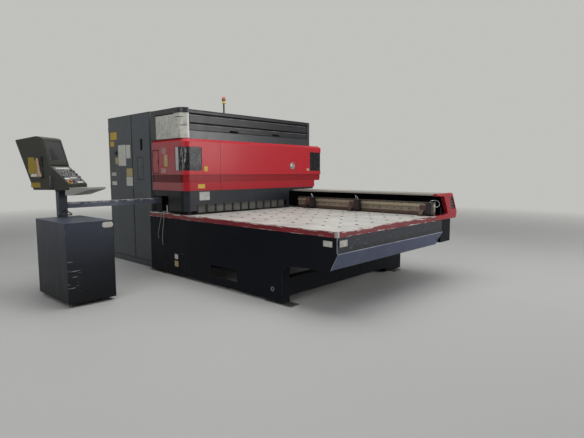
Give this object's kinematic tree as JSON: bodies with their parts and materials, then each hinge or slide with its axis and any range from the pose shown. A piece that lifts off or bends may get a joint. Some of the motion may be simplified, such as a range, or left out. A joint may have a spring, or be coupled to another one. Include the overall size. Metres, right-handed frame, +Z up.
{
  "type": "laser cutting machine",
  "caption": "Sheet metal laser cutter: a bridge over a long ball table, a clamp carriage along the side, a swivel console and power cabinets.",
  "frame": {"origin": "on the floor, under the middle of the cutting head's travel, on the middle foot plate", "axes": "+X along the table to its free end, +Y to the clamp carriage, +Z up"},
  "size_m": [5.75, 4.6425, 2.69],
  "materials": {
    "black_paint": "satin",
    "black_plastic": "matt",
    "black_rubber": "matt",
    "bright_steel": "brushed",
    "brown_cast": "rough",
    "clear_hose": "gloss",
    "copper": "polished",
    "dark_glass": "dark tint",
    "dark_paint": "satin",
    "grey_paint": "satin",
    "grey_plastic": "matt",
    "lamp_plastic": "gloss",
    "pale_paint": "satin",
    "red_paint": "satin",
    "red_plastic": "gloss",
    "screen_glass": "gloss",
    "table_steel": "worn"
  },
  "bodies": {
    "machine": {"base_frame": "dark_paint", "levelling_feet": "bright_steel", "side_panel": "dark_paint", "end_apron": "dark_paint", "edge_strip": "red_paint", "corner_cap": "bright_steel", "table_top": "table_steel", "ball_units": "bright_steel", "outfeed_table": "table_steel", "guide_box": "dark_paint", "guide_rails": "bright_steel", "way_cover": "pale_paint", "end_housing": "red_paint", "housing_grille": "grey_plastic", "bridge_frame": "grey_paint", "laser_source": "pale_paint", "cowl_near": "red_paint", "cowl_centre": "red_paint", "cowl_far": "red_paint", "cowl_rear": "grey_paint", "windows": "dark_glass", "hood_shell": "black_paint", "hood_end_cover": "pale_paint", "skirt": "black_paint", "strip_curtains": "black_rubber", "signal_tower": "lamp_plastic", "cable_duct": "black_paint", "console_post": "black_paint", "station_cabinet": "black_paint", "power_cabinets": "black_paint", "base_cable_1": "grey_plastic", "base_cable_2": "grey_plastic", "station_cable": "black_rubber"},
    "service_door": {"service_door": "dark_paint"},
    "end_door": {"end_door": "red_paint"},
    "hood_hatch": {"hood_hatch": "black_paint"},
    "carriage": {"carriage_beam": "bright_steel", "clamp_body_1": "brown_cast", "clamp_body_2": "brown_cast", "clamp_body_3": "brown_cast", "clamp_hose_1": "clear_hose", "clamp_hose_2": "clear_hose", "clamp_hose_3": "clear_hose"},
    "clamp_jaw_1": {"clamp_jaw_1": "bright_steel"},
    "clamp_jaw_2": {"clamp_jaw_2": "bright_steel"},
    "clamp_jaw_3": {"clamp_jaw_3": "bright_steel"},
    "head_carriage": {"head_carriage": "bright_steel"},
    "cutting_head": {"cutting_head": "bright_steel", "nozzle": "copper"},
    "console": {"console_housing": "black_paint", "console_screen": "screen_glass", "console_keys": "grey_plastic", "console_shelf": "pale_paint"},
    "stop_button": {"stop_button": "red_plastic"},
    "override_dial": {"override_dial": "black_plastic"},
    "station_door": {"station_door": "black_paint"},
    "power_door_left": {"power_door_left": "black_paint"},
    "isolator_handle": {"isolator_handle": "black_plastic"},
    "power_door_right": {"power_door_right": "black_paint"},
    "service_flap": {"service_flap": "black_paint"}
  },
  "joints": [
    {"name": "carriage_slide", "type": "slide", "parent": "machine", "child": "carriage", "axis": [1, 0, 0], "range_m": [-2.52, 0]},
    {"name": "clamp_jaw_1_tilt", "type": "hinge", "parent": "carriage", "child": "clamp_jaw_1", "pos_m": [0.834, 0.985, 0.972], "axis": [-1, 0, 0], "range_deg": [0, 20]},
    {"name": "clamp_jaw_2_tilt", "type": "hinge", "parent": "carriage", "child": "clamp_jaw_2", "pos_m": [1.734, 0.985, 0.972], "axis": [-1, 0, 0], "range_deg": [0, 20]},
    {"name": "clamp_jaw_3_tilt", "type": "hinge", "parent": "carriage", "child": "clamp_jaw_3", "pos_m": [2.914, 0.985, 0.972], "axis": [-1, 0, 0], "range_deg": [0, 20]},
    {"name": "head_y_slide", "type": "slide", "parent": "machine", "child": "head_carriage", "axis": [0, 1, 0], "range_m": [-0.775, 0.775]},
    {"name": "head_z_slide", "type": "slide", "parent": "head_carriage", "child": "cutting_head", "axis": [0, 0, 1], "range_m": [-0.02, 0.1]},
    {"name": "hood_hatch_hinge", "type": "hinge", "parent": "machine", "child": "hood_hatch", "pos_m": [0.4525, 0.222, 2.357], "axis": [0, -1, 0], "range_deg": [0, 95]},
    {"name": "end_door_hinge", "type": "hinge", "parent": "machine", "child": "end_door", "pos_m": [-0.322, -1.178, 1.6535], "axis": [0, 0, -1], "range_deg": [0, 100]},
    {"name": "service_door_hinge", "type": "hinge", "parent": "machine", "child": "service_door", "pos_m": [-0.067, -1.146, 0.1965], "axis": [0, 0, -1], "range_deg": [0, 110]},
    {"name": "station_door_hinge", "type": "hinge", "parent": "machine", "child": "station_door", "pos_m": [0.705, -2.845, 0.49], "axis": [0, 0, -1], "range_deg": [0, 110]},
    {"name": "power_door_left_hinge", "type": "hinge", "parent": "machine", "child": "power_door_left", "pos_m": [-1.916, -1.07, 1.26], "axis": [0, 0, -1], "range_deg": [0, 100]},
    {"name": "isolator_turn", "type": "hinge", "parent": "power_door_left", "child": "isolator_handle", "pos_m": [-1.676, -1.0703, 1.829], "axis": [0, -1, 0], "range_deg": [0, 90]},
    {"name": "power_door_right_hinge", "type": "hinge", "parent": "machine", "child": "power_door_right", "pos_m": [-1.11, -1.07, 1.26], "axis": [0, 0, -1], "range_deg": [0, 100]},
    {"name": "service_flap_hinge", "type": "hinge", "parent": "power_door_right", "child": "service_flap", "pos_m": [-0.967, -1.069, 1.5625], "axis": [0, 0, -1], "range_deg": [0, 110]},
    {"name": "console_swivel", "type": "hinge", "parent": "machine", "child": "console", "pos_m": [-0.33, -2.485, 1.2817], "axis": [0, 0, 1], "range_deg": [-30, 30]},
    {"name": "stop_button_press", "type": "slide", "parent": "console", "child": "stop_button", "axis": [-0.5712, -0.3569, -0.7391], "range_m": [0, 0.004], "stiffness_N_per_m": 2000, "springref_m": -0.002},
    {"name": "override_dial_turn", "type": "hinge", "parent": "console", "child": "override_dial", "pos_m": [-0.11164, -2.40987, 1.38472], "axis": [0.5712, 0.3569, 0.7391], "range_deg": [0, 270]}
  ]
}
